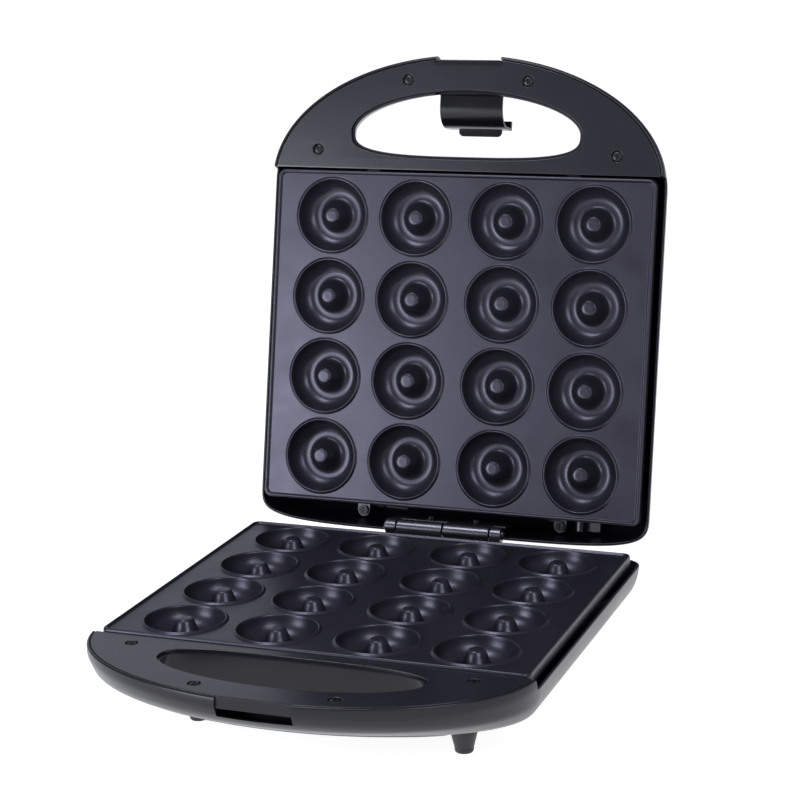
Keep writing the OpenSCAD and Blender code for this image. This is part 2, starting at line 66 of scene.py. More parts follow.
HINGE_Y = (HINGE.y - MID_Y) / MM
PLATE_X = (PLATE_HIGH.x - PLATE_LOW.x) / 2 / MM
PLATE_Y = (PLATE_HIGH.y - PLATE_LOW.y) / 2 / MM
BEAD_H = 1.2
DECK = (PLATE_HIGH.z - SEAM_Z) / MM - BEAD_H
FLANGE_H = 6.0
PLATE_T = 1.8
WELL_R = 22.3
WELL_DEPTH = 10.3
PITCH_X, PITCH_Y, MIDDLE_GAP = 56.0, 51.0, 3.0
WELL_XS = [k * PITCH_X + math.copysign(MIDDLE_GAP / 2, k) for k in (-1.5, -0.5, 0.5, 1.5)]
WELL_YS = [k * PITCH_Y for k in (-1.5, -0.5, 0.5, 1.5)]

HALF_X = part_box("base_housing")[1].x / MM
FRONT_Y = (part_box("base_housing")[0].y - MID_Y) / MM - 0.7
REAR_Y = 121.0
REAR_ROUND = 26.0
WALL = 2.2
RIM_W = 1.7
RIM_STEP = 6.0
ROUND_LENGTH = 78.3
RIM_INSET = 0.4
STEP_Y = -106.5
COVER_T = 2.0
COVER_GAP = 2.1
NOTCH_X = 21.1
NOTCH_Y = FRONT_Y + 2.2
COVER_NOTCH_Y = NOTCH_Y + 0.8
LIP_POCKET_Z = (-12.8, -7.9)
GRIP_X, GRIP_Y, GRIP_FRONT, GRIP_REAR = 75.5, -130.0, 26.5, 16.5
GRIP_WIDENING, GRIP_DEEPENING = 0.005, 0.006
LATCH_PIN_Y, LATCH_PIN_H = -156.5, 11.8
SADDLE_H = LATCH_PIN_H - 3.3
SADDLE_R = 9.0
SCREW_HOLE_R = 3.5
LENS_Y = -52.0
SCREW_XY = [(-97.6, -118.0), (97.6, -118.0), (-39.0, -162.5), (39.0, -162.5)]

# One row per level of the skin: depth below the rim, half width, front y, length of the
# rounded front, rear y.
SKIN = np.array([
    (0.0, HALF_X - RIM_INSET, FRONT_Y, ROUND_LENGTH, REAR_Y),
    (4.0, HALF_X, FRONT_Y - 0.4, 79.4, REAR_Y),
    (10.0, HALF_X - 0.6, FRONT_Y + 1.6, 79.8, REAR_Y),
    (15.0, HALF_X - 1.7, FRONT_Y + 6.0, 76.2, REAR_Y - 0.2),
    (20.0, HALF_X - 3.6, FRONT_Y + 14.8, 70.3, REAR_Y - 0.6),
    (25.0, HALF_X - 7.0, FRONT_Y + 27.0, 60.3, REAR_Y - 0.9),
    (31.0, HALF_X - 12.9, FRONT_Y + 47.3, 51.0, REAR_Y - 1.4),
    (38.0, HALF_X - 22.0, FRONT_Y + 75.0, 46.0, REAR_Y - 4.0),
    (43.0, HALF_X - 31.0, FRONT_Y + 96.0, 41.0, REAR_Y - 10.0),
    (45.5, HALF_X - 40.0, FRONT_Y + 108.0, 38.0, REAR_Y - 18.0),
])
DEPTH = SKIN[-1, 0]


# ---- placing and making meshes ------------------------------------------------------

class Half:
    """One half of the appliance: its body, and the way from the drawing to the row frame."""

    def __init__(self, body):
        self.body = body
        self.lid = body != "base"
        drop = Matrix.Translation((0, MID_Y, SEAM_Z))
        if self.lid:
            hinge = Matrix.Translation((0, HINGE_Y * MM, 0))
            swing = hinge @ Matrix.Rotation(-OPEN_ANGLE, 4, "X") @ hinge.inverted()
            drop = drop @ swing @ Matrix.Diagonal((1, 1, -1, 1))
        self.matrix = drop @ Matrix.Scale(MM, 4)

    def place(self, obj):
        obj.data.transform(self.matrix)
        if self.lid:
            obj.data.flip_normals()
        return obj


BASE, LID, LATCH = Half("base"), Half("lid"), Half("latch")


def new_object(name, verts, faces):
    mesh = bpy.data.meshes.new(name)
    mesh.from_pydata([tuple(v) for v in verts], [], [tuple(f) for f in faces])
    obj = bpy.data.objects.new(name, mesh)
    bpy.context.scene.collection.objects.link(obj)
    return obj


def tidy_normals(obj):
    bm = bmesh.new()
    bm.from_mesh(obj.data)
    bmesh.ops.remove_doubles(bm, verts=bm.verts, dist=1e-4)
    bmesh.ops.recalc_face_normals(bm, faces=bm.faces)
    bm.to_mesh(obj.data)
    bm.free()
    return obj


def apply_modifiers(obj):
    """Bakes an object's modifiers into its mesh."""
    bpy.context.view_layer.update()
    depsgraph = bpy.context.evaluated_depsgraph_get()
    mesh = bpy.data.meshes.new_from_object(obj.evaluated_get(depsgraph))
    old = obj.data
    obj.modifiers.clear()
    obj.data = mesh
    bpy.data.meshes.remove(old)
    return obj


def cut(obj, *cutters):
    for cutter in cutters:
        mod = obj.modifiers.new("cut", "BOOLEAN")
        mod.operation = "DIFFERENCE"
        mod.solver = "MANIFOLD"
        mod.object = cutter
    apply_modifiers(obj)
    for cutter in cutters:
        bpy.data.objects.remove(cutter)
    return obj


def bevel(obj, width, segments=3, angle=35):
    mod = obj.modifiers.new("bevel", "BEVEL")
    mod.width = width
    mod.segments = segments
    mod.limit_method = "ANGLE"
    mod.angle_limit = math.radians(angle)
    return apply_modifiers(obj)


def shade(obj, angle=35):
    """Smooth shading that leaves flat faces flat."""
    obj.data.shade_smooth()
    obj.data.set_sharp_from_angle(angle=math.radians(angle))
    mod = obj.modifiers.new("normals", "WEIGHTED_NORMAL")
    mod.keep_sharp = True
    return apply_modifiers(obj)


def finish_piece(obj, half, material, slot, *nodes, angle=35):
    """Puts a drawn piece in its half, gives it its material and hides the CAD nodes it stands for."""
    half.place(obj)
    shade(obj, angle)
    obj.data.materials.clear()
    obj.data.materials.append(material)
    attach(obj, half.body)
    if nodes:
        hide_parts(*nodes)
    return obj


def join(name, objs):
    """One object from several, keeping their order."""
    bm = bmesh.new()
    for obj in objs:
        bm.from_mesh(obj.data)
    mesh = bpy.data.meshes.new(name)
    bm.to_mesh(mesh)
    bm.free()
    for obj in objs:
        bpy.data.objects.remove(obj)
    out = bpy.data.objects.new(name, mesh)
    bpy.context.scene.collection.objects.link(out)
    return out


def loft(name, rings, closed_rows=False, caps=True):
    """A mesh through rings of equal length. closed_rows joins the last ring to the first."""
    rings = [np.asarray(r, float) for r in rings]
    n = len(rings[0])
    verts = np.concatenate(rings)
    faces = []
    rows = len(rings) if closed_rows else len(rings) - 1
    for i in range(rows):
        a, b = i * n, ((i + 1) % len(rings)) * n
        for j in range(n):
            k = (j + 1) % n
            faces.append((a + j, a + k, b + k, b + j))
    if caps and not closed_rows:
        faces.append(tuple(range(n))[::-1])
        faces.append(tuple(range(len(verts) - n, len(verts))))
    return tidy_normals(new_object(name, verts, faces))


def box(name, low, high):
    x0, y0, z0 = low
    x1, y1, z1 = high
    verts = [(x, y, z) for x in (x0, x1) for y in (y0, y1) for z in (z0, z1)]
    faces = [(0, 1, 3, 2), (4, 6, 7, 5), (0, 4, 5, 1), (2, 3, 7, 6), (0, 2, 6, 4), (1, 5, 7, 3)]
    return tidy_normals(new_object(name, verts, faces))


def prism(name, outline, low, high):
    outline = np.asarray(outline, float)
    ring = [np.column_stack((outline, np.full(len(outline), z))) for z in (low, high)]
    return loft(name, ring)


def lathe(name, section, centre=(0, 0, 0), axis="Z", steps=64):
    """Turns (radius, height) points about an axis; a radius of 0 closes an end."""
    rings = []
    for radius, height in section:
        turn = np.linspace(0, 2 * math.pi, steps, endpoint=False)
        ring = np.column_stack((radius * np.cos(turn), radius * np.sin(turn), np.full(steps, height)))
        rings.append(ring)
    if axis == "X":
        rings = [ring[:, [2, 0, 1]] for ring in rings]
    if axis == "Y":
        rings = [ring[:, [1, 2, 0]] for ring in rings]
    return loft(name, [ring + np.array(centre) for ring in rings])


def rounded_section(radius, low, high, edge):
    """Half section of a cylinder with rounded ends, as (radius, height) points."""
    turn = np.radians(np.linspace(0, 90, 6))
    bottom = [(radius - edge + edge * math.sin(t), low + edge - edge * math.cos(t)) for t in turn]
    top = [(r, low + high - h) for r, h in bottom[::-1]]
    return [(1e-3, low)] + bottom + top + [(1e-3, high)]


# ---- outlines of a half -------------------------------------------------------------

def curve_through(x, y, at):
    """Monotone cubic through points, so that the skin has no kinks between its levels."""
    step = np.diff(x)
    slope = np.diff(y) / step
    tangent = np.zeros_like(y)
    same = slope[:-1] * slope[1:] > 0
    total = np.where(same, slope[:-1] + slope[1:], 1.0)
    tangent[1:-1] = np.where(same, 2 * slope[:-1] * slope[1:] / total, 0.0)
    tangent[0], tangent[-1] = slope[0], slope[-1]
    i = np.clip(np.searchsorted(x, at) - 1, 0, len(step) - 1)
    t = (at - x[i]) / step[i]
    return ((1 + 2 * t) * (1 - t) ** 2 * y[i] + t * (1 - t) ** 2 * step[i] * tangent[i]
            + t * t * (3 - 2 * t) * y[i + 1] + t * t * (t - 1) * step[i] * tangent[i + 1])


def level(depth):
    depth = np.clip(depth, 0, DEPTH)
    return [curve_through(SKIN[:, 0], SKIN[:, k], depth) for k in range(1, 5)]


def power(value, exponent):
    return np.sign(value) * np.abs(value) ** exponent


class Columns:
    """The points round a half's outline, as angles, with close pairs where the skin steps."""

    def __init__(self):
        notch = math.degrees(math.asin(NOTCH_X / HALF_X))
        step = math.degrees(math.asin((FRONT_Y + ROUND_LENGTH - STEP_Y) / ROUND_LENGTH))
        ends = [180 + step + d for d in (-0.36, -0.24, -0.12, 0, 0.12, 0.24, 0.36)]
        edge = [270 - notch + d for d in (-0.2, -0.03, 0.03, 0.2)]
        special = ends + edge
        special += [2 * 270 - a for a in special]
        even = [a for a in np.linspace(180, 360, 133) if min(abs(a - s) for s in special) > 0.5]
        front = np.radians(sorted(even + special))
        rear = np.radians(np.linspace(0, 180, 65))
        side = np.linspace(0, 1, 18)[1:-1]
        self.kind = np.concatenate([np.zeros(len(front)), np.ones(len(side)), np.full(len(rear), 2),
                                    np.full(len(side), 3)])
        self.value = np.concatenate([front, side, rear, side])
        self.in_notch = (self.kind == 0) & (np.abs(np.degrees(self.value) - 270) < notch)

    def points(self, depth, inset):
        """The outline's points; depth and inset may differ from column to column."""
        depth = np.broadcast_to(np.asarray(depth, float), self.kind.shape)
        inset = np.broadcast_to(np.asarray(inset, float), self.kind.shape)
        half_x, front, length, rear = level(depth)
        mid, rear_mid = front + length, rear - REAR_ROUND
        cos, sin = np.cos(self.value), np.sin(self.value)
        a = half_x - inset
        x = np.select(
            [self.kind == 0, self.kind == 1, self.kind == 2],
            [a * cos, a, a * power(cos, 0.4)], -a)
        y = np.select(
            [self.kind == 0, self.kind == 1, self.kind == 2],
            [mid + (length - inset) * sin, mid + (rear_mid - mid) * self.value,
             rear_mid + (REAR_ROUND - inset) * power(sin, 0.4)],
            rear_mid + (mid - rear_mid) * self.value)
        y = np.where(self.in_notch, np.maximum(y, NOTCH_Y + inset), y)
        return np.column_stack((x, y, DECK - depth))


COLUMNS = Columns()


def grip_outline(grow, steps=56):
    """The handle opening, grown by an offset."""
    front = np.radians(np.linspace(180, 360, steps, endpoint=False))
    rear = np.radians(np.linspace(0, 180, steps, endpoint=False))
    a = GRIP_X + grow
    points = []
    for turns, depth, squareness in ((front, GRIP_FRONT, 1.9), (rear, GRIP_REAR, 3.2)):
        points += [(a * power(np.cos(t), 2 / squareness),
                    GRIP_Y + (depth + grow) * power(np.sin(t), 2 / squareness)) for t in turns]
    return np.array(points)


def skin_z(points):
    """Height of the skin's outside at each (x, y) point, found by halving."""
    x, y = points[:, 0], points[:, 1]
    low, high = np.zeros(len(points)), np.full(len(points), DEPTH)
    for _ in range(30):
        middle = (low + high) / 2
        half_x, front, length, _rear = level(middle)
        over = np.minimum(y - (front + length), 0)
        inside = (x / half_x) ** 2 + (over / length) ** 2 < 1
        low, high = np.where(inside, middle, low), np.where(inside, high, middle)
    return DECK - low


# ---- materials ----------------------------------------------------------------------

def material(name, colour, roughness, metallic=0.0, coat=0.0, specular=0.5,
             grain=(900.0, 0.02), cloud=(18.0, 0.05), smear=(0.0, 0.0)):
    """A moulded, cast or coated surface.

    grain is the scale and depth of the fine relief, cloud the scale and strength of the
    slow change in roughness and tone, and smear the same for faint wiping marks.
    """
    mat = bpy.data.materials.new(name)
    mat.use_nodes = True
    nodes, links = mat.node_tree.nodes, mat.node_tree.links
    shader = nodes["Principled BSDF"]
    shader.inputs["Metallic"].default_value = metallic
    shader.inputs["Coat Weight"].default_value = coat
    shader.inputs["Coat Roughness"].default_value = 0.08
    shader.inputs["Specular IOR Level"].default_value = specular
    where = nodes.new("ShaderNodeTexCoord")

    def noise(scale, detail):
        node = nodes.new("ShaderNodeTexNoise")
        node.inputs["Scale"].default_value = scale
        node.inputs["Detail"].default_value = detail
        links.new(where.outputs["Object"], node.inputs["Vector"])
        return node.outputs["Fac"]

    def ramp(value, low, high):
        node = nodes.new("ShaderNodeMapRange")
        node.inputs["From Min"].default_value = 0.3
        node.inputs["From Max"].default_value = 0.7
        node.inputs["To Min"].default_value = low
        node.inputs["To Max"].default_value = high
        links.new(value, node.inputs["Value"])
        return node.outputs["Result"]

    slow = noise(cloud[0], 3.0)
    tone = nodes.new("ShaderNodeMix")
    tone.data_type = "RGBA"
    spread = cloud[1]
    tone.inputs["A"].default_value = (*[c * (1 - spread) for c in colour], 1)
    tone.inputs["B"].default_value = (*[c * (1 + spread) for c in colour], 1)
    links.new(slow, tone.inputs["Factor"])
    links.new(tone.outputs["Result"], shader.inputs["Base Color"])
    rough = ramp(slow, roughness * (1 - spread), roughness * (1 + spread))
    if smear[1]:
        add = nodes.new("ShaderNodeMath")
        add.operation = "ADD"
        links.new(rough, add.inputs[0])
        links.new(ramp(noise(smear[0], 6.0), -smear[1], smear[1]), add.inputs[1])
        rough = add.outputs["Value"]
    links.new(rough, shader.inputs["Roughness"])
    bump = nodes.new("ShaderNodeBump")
    bump.inputs["Strength"].default_value = 1.0
    bump.inputs["Distance"].default_value = grain[1] * MM
    links.new(noise(grain[0], 4.0), bump.inputs["Height"])
    links.new(bump.outputs["Normal"], shader.inputs["Normal"])
    return mat


GLOSS = material("gloss_black", (0.006, 0.006, 0.009), 0.28, specular=0.30,
                 grain=(420, 0.012), cloud=(14, 0.10))
LATCH_GLOSS = material("latch_black", (0.004, 0.004, 0.005), 0.20, specular=0.35,
                       grain=(420, 0.010), cloud=(30, 0.10))
SATIN = material("satin_black", (0.008, 0.008, 0.012), 0.24, grain=(2600, 0.03), cloud=(20, 0.08))
NONSTICK = material("nonstick", (0.038, 0.036, 0.049), 0.33, metallic=0.75,
                    grain=(1500, 0.035), cloud=(26, 0.10), smear=(70, 0.03))
DARK_STEEL = material("blackened_steel", (0.085, 0.085, 0.095), 0.27, metallic=0.9,
                      grain=(1200, 0.02), cloud=(60, 0.12))
# Zinc-plated steel with painted shade: its colour is darkened far below zinc's own grey so the plate straps
# look as dark as they do in the shaded gap between plate and cover. The clamps and foot screws share this
# colour.
ZINC_WITH_PAINTED_SHADE = material("zinc_steel", (0.07, 0.07, 0.075), 0.40, metallic=1.0, grain=(900, 0.03), cloud=(90, 0.12))
SCREW = material("black_oxide", (0.006, 0.006, 0.008), 0.34, specular=0.3,
                 grain=(1500, 0.03), cloud=(150, 0.1))
RUBBER = material("foot_black", (0.012, 0.012, 0.013), 0.45, grain=(2200, 0.06), cloud=(60, 0.1))
TUBE = material("heater_tube", (0.26, 0.24, 0.23), 0.42, metallic=0.9, grain=(700, 0.04), cloud=(60, 0.2))
SHEET = material("rolled_sheet", (0.62, 0.62, 0.63), 0.32, metallic=1.0, grain=(500, 0.02), cloud=(12, 0.1))
CERAMIC = material("ceramic", (0.70, 0.66, 0.58), 0.35, grain=(800, 0.03), cloud=(80, 0.05))
SLEEVE = material("wire_sleeve", (0.030, 0.028, 0.028), 0.6, grain=(3000, 0.1), cloud=(200, 0.1))
RED = material("red_lens", (0.35, 0.012, 0.008), 0.12, coat=0.6, grain=(900, 0.01), cloud=(200, 0.1))
GREEN = material("green_lens", (0.015, 0.22, 0.03), 0.12, coat=0.6, grain=(900, 0.01), cloud=(200, 0.1))
GLASS = material("lamp_glass", (0.75, 0.45, 0.22), 0.1, coat=0.5, grain=(900, 0.01), cloud=(200, 0.1))


# ---- housings -----------------------------------------------------------------------

def rim_depth(y):
    """How far the rim sits below the handle's rim, with a short steep step between."""
    t = np.clip((y - (STEP_Y - 0.3)) / 0.6, 0, 1)
    return RIM_STEP * t * t * (3 - 2 * t)


def housing_shell(name):
    """The closed wall of a half: up its outside, over the rim and down its inside."""
    top = rim_depth(COLUMNS.points(0.0, 0.0)[:, 1])
    keep = 14.0
    outer_round, inner_round = 1.0, 0.5
    rows = []

    def row(depth, inset):
        rows.append(COLUMNS.points(depth, inset))

    for depth in np.linspace(DEPTH, keep, 46, endpoint=False):
        row(depth, 0.0)
    for share in np.linspace(1, 0, 12):
        row(top + outer_round + (keep - outer_round - top) * share, 0.0)
    for turn in np.radians((22, 45, 67, 90)):
        row(top + outer_round * (1 - math.sin(turn)), outer_round * (1 - math.cos(turn)))
    for turn in np.radians((90, 60, 30, 0)):
        row(top + inner_round * (1 - math.sin(turn)), RIM_W - inner_round * (1 - math.cos(turn)))
    for share in np.linspace(0, 1, 8)[1:]:
        row(top + inner_round + (keep - inner_round - top) * share, RIM_W + (WALL - RIM_W) * share)
    for depth in np.linspace(keep, DEPTH - WALL, 22)[1:]:
        row(depth, WALL + 1.2 * (depth - keep) / DEPTH)
    return loft(name, rows)


def widened(outline, z):
    """An outline of the handle opening at a height: it widens with depth."""
    z = np.broadcast_to(np.asarray(z, float), (len(outline),))
    depth = np.maximum(DECK - COVER_T - z, 0)
    y = GRIP_Y + (outline[:, 1] - GRIP_Y) * (1 + GRIP_DEEPENING * depth)
    return np.column_stack((outline[:, 0] * (1 + GRIP_WIDENING * depth), y, z))


def grip_cutter(grow):
    levels = (DECK - DEPTH - 5, DECK - COVER_T, 5.0)
    return loft("grip_cutter", [widened(grip_outline(grow), z) for z in levels])


def middle_cutter():
    """The slot across the lid's front that the latch's arm lies in."""
    return box("middle_cutter", (-NOTCH_X, FRONT_Y - 20, DECK - DEPTH - 5),
               (NOTCH_X, GRIP_Y, 2))


def lip_pocket():
    """The slot in the base's front recess that the latch's lip hooks into."""
    low_z, high_z = LIP_POCKET_Z
    return box("lip_pocket", (-NOTCH_X, NOTCH_Y - 1, low_z), (NOTCH_X, NOTCH_Y + 6, high_z))


def saddle_side(radius, drop, tail):
    """Side view of the saddle, as (y, z) points from its tail over the round front."""
    mid_z = -SADDLE_H + SADDLE_R
    points = [(tail, mid_z - radius)]
    for turn in np.radians(np.linspace(0, 90, 14)):
        points.append((LATCH_PIN_Y - SADDLE_R - radius * math.sin(turn), mid_z - radius * math.cos(turn)))
    points.append((LATCH_PIN_Y - SADDLE_R - radius, drop))
    return points


def along_x(name, side, low_x, high_x):
    """A shape of constant section along X, from its (y, z) side view."""
    rings = [[(x, y, z) for y, z in side] for x in (low_x, high_x)]
    return loft(name, rings)


def saddle(name):
    outer = saddle_side(SADDLE_R, DECK - COVER_T, LATCH_PIN_Y + 3)
    inner = saddle_side(SADDLE_R - 1.8, DECK - COVER_T, LATCH_PIN_Y + 3)
    piece = along_x(name, outer + inner[::-1], -NOTCH_X - 0.5, NOTCH_X + 0.5)
    return cut(piece, grip_cutter(-2.0))


def slot_cheek(name, side):
    """The wall that closes the lid's shell beside the latch's slot."""
    near, far = NOTCH_X + 0.03, NOTCH_X + 2.0
    depths = np.linspace(COVER_T, 24.0, 60)
    half_x, front, length, _rear = level(depths)
    front_y = front + length - length * np.sqrt(1 - (near / half_x) ** 2)
    section = [(y + 0.3, DECK - d) for y, d in zip(front_y, depths)]
    section.append((LATCH_PIN_Y + 4, DECK - COVER_T))
    piece = along_x(name, section, min(side * near, side * far), max(side * near, side * far))
    return cut(piece, grip_cutter(-2.0))


def collar(name):
    """The tube wall round the handle opening, with a soft bead where it meets the skin."""
    top = DECK - COVER_T + 0.4
    section = [(-2.0, top - 0.7, 0), (-1.85, top - 0.2, 0), (-1.4, top, 0), (-0.2, top, 0),
               (-0.2, top - 0.5, 0), (1.5, top - 0.5, 0), (1.5, 1.2, 1), (1.4, -0.1, 1),
               (0.9, -0.35, 1), (-1.2, -0.4, 1), (-1.75, -0.15, 1), (-2.0, 0.5, 1)]
    rings = []
    for grow, height, on_skin in section:
        outline = grip_outline(grow)
        z = height
        if on_skin:
            for _ in range(6):
                z = skin_z(widened(outline, z)) + height
        rings.append(widened(outline, z))
    return loft(name, rings, closed_rows=True)


def housing(half):
    name = half.body + "_shell"
    parts = [cut(housing_shell(name), grip_cutter(-0.3)), collar(half.body + "_collar")]
    if half.lid:
        parts = [cut(part, middle_cutter()) for part in parts]
        parts += [saddle("lid_saddle"), slot_cheek("cheek_left", -1), slot_cheek("cheek_right", 1)]
    else:
        parts[0] = cut(parts[0], lip_pocket())
    piece = join(name, parts)
    finish_piece(piece, half, GLOSS, "housing", half.body + "_housing", angle=32)


# ---- handle covers and screws -------------------------------------------------------

def flat_plate(name, outlines, low, high, edge):
    """A flat plate with holes and rounded edges: the first outline is its outside."""
    curve = bpy.data.curves.new(name, "CURVE")
    curve.dimensions = "2D"
    curve.fill_mode = "BOTH"
    for outline in outlines:
        spline = curve.splines.new("POLY")
        spline.points.add(len(outline) - 1)
        for point, (x, y) in zip(spline.points, outline):
            point.co = (x, y, 0, 1)
        spline.use_cyclic_u = True
    curve.extrude = (high - low) / 2 - edge
    curve.bevel_depth = edge
    curve.bevel_resolution = 2
    curve.offset = -edge
    source = bpy.data.objects.new(name + "_curve", curve)
    bpy.context.scene.collection.objects.link(source)
    bpy.context.view_layer.update()
    depsgraph = bpy.context.evaluated_depsgraph_get()
    mesh = bpy.data.meshes.new_from_object(source.evaluated_get(depsgraph))
    bpy.data.objects.remove(source)
    mesh.transform(Matrix.Translation((0, 0, (low + high) / 2)))
    obj = bpy.data.objects.new(name, mesh)
    bpy.context.scene.collection.objects.link(obj)
    return tidy_normals(obj)


def circle(centre, radius, steps=40):
    turn = np.linspace(0, 2 * math.pi, steps, endpoint=False)
    return np.column_stack((centre[0] + radius * np.cos(turn), centre[1] + radius * np.sin(turn)))


def handle_cover(half):
    a, b = HALF_X - RIM_INSET - COVER_GAP, ROUND_LENGTH - COVER_GAP
    mid = FRONT_Y + ROUND_LENGTH
    rear = STEP_Y + 0.3
    start = math.asin((mid - rear) / b)
    notch = math.asin(NOTCH_X / a)
    edges = [1.5 * math.pi + side * (notch + gap) for side in (-1, 1) for gap in (-0.001, 0.001)]
    turn = np.sort(np.append(np.linspace(math.pi + start, 2 * math.pi - start, 180), edges))
    x, y = a * np.cos(turn), mid + b * np.sin(turn)
    y = np.where(np.abs(x) < NOTCH_X, np.maximum(y, COVER_NOTCH_Y), y)
    outside = np.column_stack((x, y))
    holes = [grip_outline(0.0)[::-1]] + [circle(xy, SCREW_HOLE_R)[::-1] for xy in SCREW_XY]
    top = flat_plate(half.body + "_cover", [outside] + holes, DECK - COVER_T, DECK, 0.4)
    finish_piece(top, half, SATIN, "cover", half.body + "_handle_cover", angle=40)


def cross_cutter(name, centre, z):
    """The two bars that cut a screw's cross recess."""
    x, y = centre
    arm, half_w = 1.75, 0.38
    return [box(name, (x - dx, y - dy, z), (x + dx, y + dy, z + 2))
            for dx, dy in ((arm, half_w), (half_w, arm))]


def pan_head(name, centre, top, radius=3.1, height=1.5, shank=6.0):
    """A screw with a domed head and a cross recess, head up."""
    dome = [(radius * math.cos(t), top - height * 0.7 + height * 0.7 * math.sin(t))
            for t in np.radians(np.linspace(0, 80, 7))]
    section = [(1e-3, top - height - shank), (1.45, top - height - shank), (1.45, top - height),
               (radius, top - height)] + dome + [(1e-3, top)]
    head = lathe(name, section, (centre[0], centre[1], 0), steps=40)
    return cut(head, *cross_cutter(name + "_cross", centre, top - 0.8))


def cover_screws(half):
    screws = [pan_head(f"screw_{i}", xy, DECK + 0.05, height=1.3) for i, xy in enumerate(SCREW_XY)]
    piece = join(half.body + "_cover_screw_heads", screws)
    finish_piece(piece, half, SCREW, "screw_black", half.body + "_cover_screws", angle=30)


# ---- cooking plates -----------------------------------------------------------------

def smooth_path(points, per_span=4):
    """A Catmull-Rom curve through points."""
    p = np.array(points, float)
    p = np.vstack((2 * p[0] - p[1], p, 2 * p[-1] - p[-2]))
    out = []
    for i in range(1, len(p) - 2):
        for t in np.linspace(0, 1, per_span, endpoint=False):
            out.append(0.5 * (2 * p[i] + (p[i + 1] - p[i - 1]) * t
                              + (2 * p[i - 1] - 5 * p[i] + 4 * p[i + 1] - p[i + 2]) * t * t
                              + (3 * p[i] - p[i - 1] - 3 * p[i + 1] + p[i + 2]) * t ** 3))
    out.append(p[-2])
    return np.array(out)


def well_section():
    """(radius, height above the deck) from the flat deck over the bead to the peg's middle."""
    r, d = WELL_R, WELL_DEPTH
    bead = [(r + 2.6, 0.0), (r + 2.3, 0.0), (r + 1.9, 0.25), (r + 1.45, 0.75), (r + 0.95, BEAD_H),
            (r + 0.45, 1.1), (r + 0.1, 0.55), (r - 0.1, -0.4)]
    bowl = [(r - 0.5, -2.4), (r - 1.4, -5.0), (r - 3.1, -7.5), (r - 5.2, -9.3), (r - 7.2, -d + 0.15),
            (r - 8.8, -d), (r - 10.4, -d + 0.1), (r - 12.0, -d + 0.7), (r - 13.3, -d + 2.0)]
    peg = [(7.9, -6.5), (7.0, -4.5), (6.2, -2.7), (5.5, -1.0), (4.8, 0.4), (4.3, 1.0), (3.9, BEAD_H)]
    curve = smooth_path(bead + bowl + peg, 3)
    return np.vstack((curve, [(2.2, BEAD_H), (1e-3, BEAD_H)]))


def rounded_rectangle(half_x, half_y, radius, steps=10):
    points = []
    for k, (sx, sy) in enumerate([(1, 1), (-1, 1), (-1, -1), (1, -1)]):
        for t in np.linspace(0, math.pi / 2, steps):
            angle = k * math.pi / 2 + t
            points.append((sx * (half_x - radius) + radius * math.cos(angle),
                           sy * (half_y - radius) + radius * math.sin(angle)))
    return np.array(points)


def plate_border():
    """(distance in from the edge, height above the deck) from the deck over the lip."""
    lip = [(3.0, 0.0), (2.8, 0.0), (2.5, 0.15), (2.1, 0.7), (1.6, BEAD_H), (1.0, BEAD_H), (0.5, 0.95),
           (0.15, 0.3), (0.0, -0.6), (0.0, -2.0)]
    return np.vstack((smooth_path(lip, 3), [(0.0, -FLANGE_H + 0.4), (0.15, -FLANGE_H)]))


def cooking_plate(half):
    bm = bmesh.new()
    steps = 72
    turn = np.linspace(0, 2 * math.pi, steps, endpoint=False)
    flat_edges = []

    def add_ring(xy, z):
        return [bm.verts.new((x, y, z)) for x, y in xy]

    def bridge(first, second):
        n = len(first)
        for j in range(n):
            k = (j + 1) % n
            bm.faces.new((first[j], first[k], second[k], second[j]))

    def edge_loop(ring):
        return [bm.edges.get((ring[j], ring[(j + 1) % len(ring)])) for j in range(len(ring))]

    for x in WELL_XS:
        for y in WELL_YS:
            rings = [add_ring(np.column_stack((x + r * np.cos(turn), y + r * np.sin(turn))), DECK + h)
                     for r, h in well_section()]
            for first, second in zip(rings, rings[1:]):
                bridge(first, second)
            flat_edges += edge_loop(rings[0])
    rings = []
    for inset, height in plate_border():
        corner = max(4.5 - 0.5 * inset, 1.2)
        xy = rounded_rectangle(PLATE_X - inset, PLATE_Y - inset, corner)
        rings.append(add_ring(xy, DECK + height))
    for first, second in zip(rings, rings[1:]):
        bridge(first, second)
    flat_edges += edge_loop(rings[0])
    bmesh.ops.triangle_fill(bm, use_beauty=True, use_dissolve=False, edges=flat_edges, normal=(0, 0, 1))
    bmesh.ops.remove_doubles(bm, verts=bm.verts, dist=2e-3)
    bmesh.ops.recalc_face_normals(bm, faces=bm.faces)
    mesh = bpy.data.meshes.new(half.body + "_cooking_plate")
    bm.to_mesh(mesh)
    bm.free()
    piece = bpy.data.objects.new(half.body + "_cooking_plate", mesh)
    bpy.context.scene.collection.objects.link(piece)
    up = sum(p.normal.z * p.area for p in mesh.polygons)
    if up < 0:
        mesh.flip_normals()
    solid = piece.modifiers.new("thickness", "SOLIDIFY")
    solid.thickness = PLATE_T
    solid.offset = -1
    apply_modifiers(piece)
    finish_piece(piece, half, NONSTICK, "nonstick", half.body + "_plate", angle=40)


# ---- hinge --------------------------------------------------------------------------

BARREL_R = 4.75
# The stretches of the hinge line that each half's barrels take up.
SPANS = {"base": [(-30.2, -0.4), (31.0, 38.0)], "lid": [(0.4, 30.2), (-38.0, -31.0)]}


def hinge_leaf(half):
    parts = []
    leaf_y = HINGE_Y - BARREL_R
    for low, high in SPANS[half.body]:
        section = rounded_section(BARREL_R, low, high, 0.5)
        parts.append(lathe("barrel", section, (0, HINGE_Y, 0), "X"))
        tab = box("tab", (low, leaf_y, -8), (high, leaf_y + 1.5, 0))
        parts.append(bevel(tab, 0.3, 2))
    parts.append(bevel(box("leaf", (-38, leaf_y, -28), (38, leaf_y + 1.5, -5.8)), 0.4, 2))
    piece = join(half.body + "_hinge", parts)
    finish_piece(piece, half, DARK_STEEL, "hinge_steel", half.body + "_hinge_leaf")


